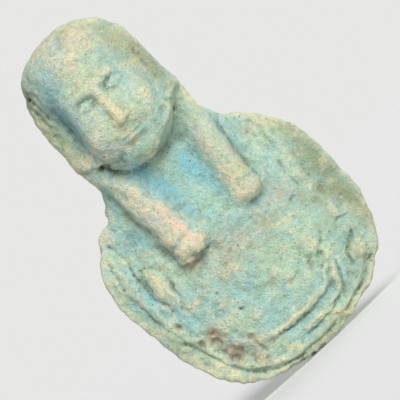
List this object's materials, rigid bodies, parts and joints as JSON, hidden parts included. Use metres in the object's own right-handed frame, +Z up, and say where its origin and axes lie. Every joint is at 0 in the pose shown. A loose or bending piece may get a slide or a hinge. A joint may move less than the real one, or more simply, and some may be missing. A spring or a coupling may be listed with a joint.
{
  "type": "faience aegis amulet",
  "caption": "Small moulded amulet: a head in a headcloth with lappets above a broad round collar, flat-backed, with a cord loop behind the neck.",
  "frame": {"origin": "middle of the suspension hole behind the neck", "axes": "+Z up to the crown along the flat back, +X along the hole to the viewer's right, front faces -Y"},
  "size_m": [0.024, 0.0129, 0.038],
  "materials": {
    "glazed_faience": "matte, worn blue-green glaze with fine pits",
    "worn_faience": "matte, rubbed pale over the raised parts",
    "blue_faience": "matte sky-blue glaze kept in the recesses"
  },
  "bodies": {
    "root": {"suspension_loop": "glazed_faience", "collar_plate": "glazed_faience", "headcloth_back": "glazed_faience", "left_headcloth_wing": "glazed_faience", "right_headcloth_wing": "glazed_faience", "collar_rim": "glazed_faience", "outer_bead_row": "glazed_faience", "inner_bead_row": "glazed_faience", "collar_field": "glazed_faience", "headcloth_cap": "worn_faience", "face": "worn_faience", "left_lappet": "worn_faience", "right_lappet": "worn_faience", "left_terminal": "worn_faience", "right_terminal": "worn_faience", "right_lower_bead": "worn_faience", "bust": "blue_faience"}
  },
  "joints": []
}
